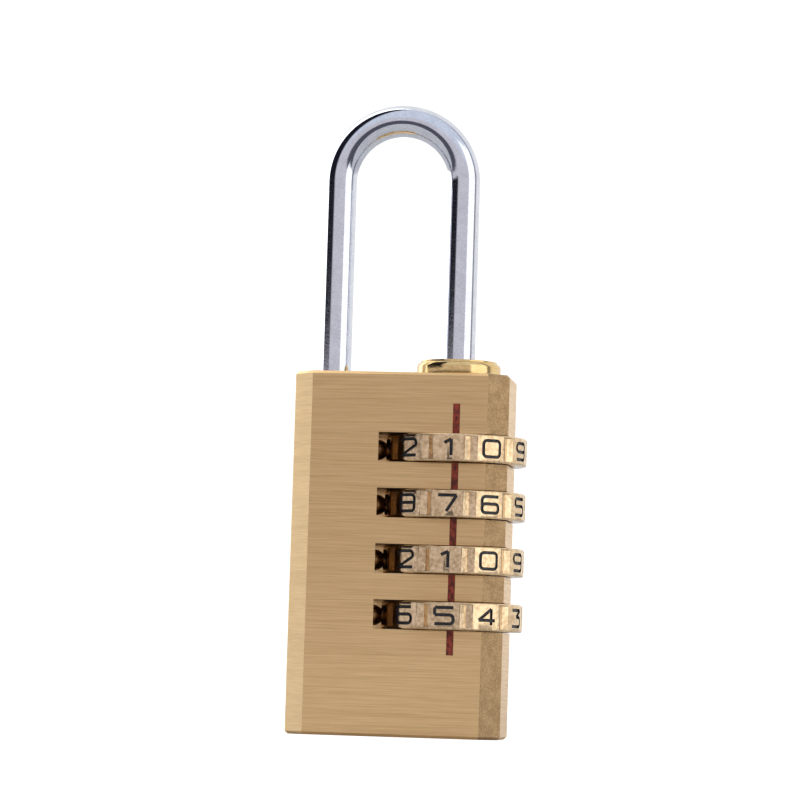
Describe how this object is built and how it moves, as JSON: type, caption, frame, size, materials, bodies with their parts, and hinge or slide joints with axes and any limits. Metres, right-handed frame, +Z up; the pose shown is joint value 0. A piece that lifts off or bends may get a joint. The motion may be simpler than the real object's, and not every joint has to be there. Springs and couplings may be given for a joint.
{
  "type": "combination padlock",
  "caption": "Slim brass combination padlock with number wheels in side slots, a turned collar and a rising steel shackle.",
  "frame": {"origin": "middle of the flat base", "axes": "+Z up along the shackle legs, -Y is the front with the index line, +X is the side the wheels stand out of"},
  "size_m": [0.0287, 0.0176, 0.0794],
  "materials": {
    "body_brass": "fine horizontal brushing",
    "wheel_brass": "polished",
    "collar_brass": "polished",
    "sleeve_brass": "turned",
    "shackle_chrome": "bright plated steel",
    "line_paint": "dark red enamel",
    "spring_steel": "drawn wire",
    "pin_steel": "ground steel"
  },
  "bodies": {
    "case": {"body": "body_brass", "index_line": "line_paint", "collar": "collar_brass", "sleeve_washer": "pin_steel", "spring_washer": "spring_steel", "heel_spring": "spring_steel", "detent_spring_1": "spring_steel", "detent_spring_2": "spring_steel", "detent_spring_3": "spring_steel", "detent_spring_4": "spring_steel"},
    "shackle_rod": {"shackle": "shackle_chrome", "stop_ring": "spring_steel"},
    "dial_1": {"number_wheel_1": "wheel_brass", "clutch_sleeve_1": "sleeve_brass"},
    "click_1": {"detent_pin_1": "pin_steel"},
    "dial_2": {"number_wheel_2": "wheel_brass", "clutch_sleeve_2": "sleeve_brass"},
    "click_2": {"detent_pin_2": "pin_steel"},
    "dial_3": {"number_wheel_3": "wheel_brass", "clutch_sleeve_3": "sleeve_brass"},
    "click_3": {"detent_pin_3": "pin_steel"},
    "dial_4": {"number_wheel_4": "wheel_brass", "clutch_sleeve_4": "sleeve_brass"},
    "click_4": {"detent_pin_4": "pin_steel"}
  },
  "joints": [
    {"name": "shackle_lift", "type": "slide", "parent": "case", "child": "shackle_rod", "axis": [0, 0, 1], "range_m": [0, 0.0058], "deforming": ["heel_spring"]},
    {"name": "dial_1_turn", "type": "hinge", "parent": "case", "child": "dial_1", "pos_m": [0.0065, 0, 0.03575], "axis": [0, 0, 1], "continuous": true, "deforming": ["detent_pin_1"]},
    {"name": "detent_1_press", "type": "slide", "parent": "case", "child": "click_1", "axis": [-1, 0, 0], "range_m": [0, 0.0003], "stiffness_N_per_m": 400, "deforming": ["detent_spring_1"]},
    {"name": "dial_2_turn", "type": "hinge", "parent": "case", "child": "dial_2", "pos_m": [0.0065, 0, 0.02885], "axis": [0, 0, 1], "continuous": true, "deforming": ["detent_pin_2"]},
    {"name": "detent_2_press", "type": "slide", "parent": "case", "child": "click_2", "axis": [-1, 0, 0], "range_m": [0, 0.0003], "stiffness_N_per_m": 400, "deforming": ["detent_spring_2"]},
    {"name": "dial_3_turn", "type": "hinge", "parent": "case", "child": "dial_3", "pos_m": [0.0065, 0, 0.02195], "axis": [0, 0, 1], "continuous": true, "deforming": ["detent_pin_3"]},
    {"name": "detent_3_press", "type": "slide", "parent": "case", "child": "click_3", "axis": [-1, 0, 0], "range_m": [0, 0.0003], "stiffness_N_per_m": 400, "deforming": ["detent_spring_3"]},
    {"name": "dial_4_turn", "type": "hinge", "parent": "case", "child": "dial_4", "pos_m": [0.0065, 0, 0.01505], "axis": [0, 0, 1], "continuous": true, "deforming": ["detent_pin_4"]},
    {"name": "detent_4_press", "type": "slide", "parent": "case", "child": "click_4", "axis": [-1, 0, 0], "range_m": [0, 0.0003], "stiffness_N_per_m": 400, "deforming": ["detent_spring_4"]}
  ]
}
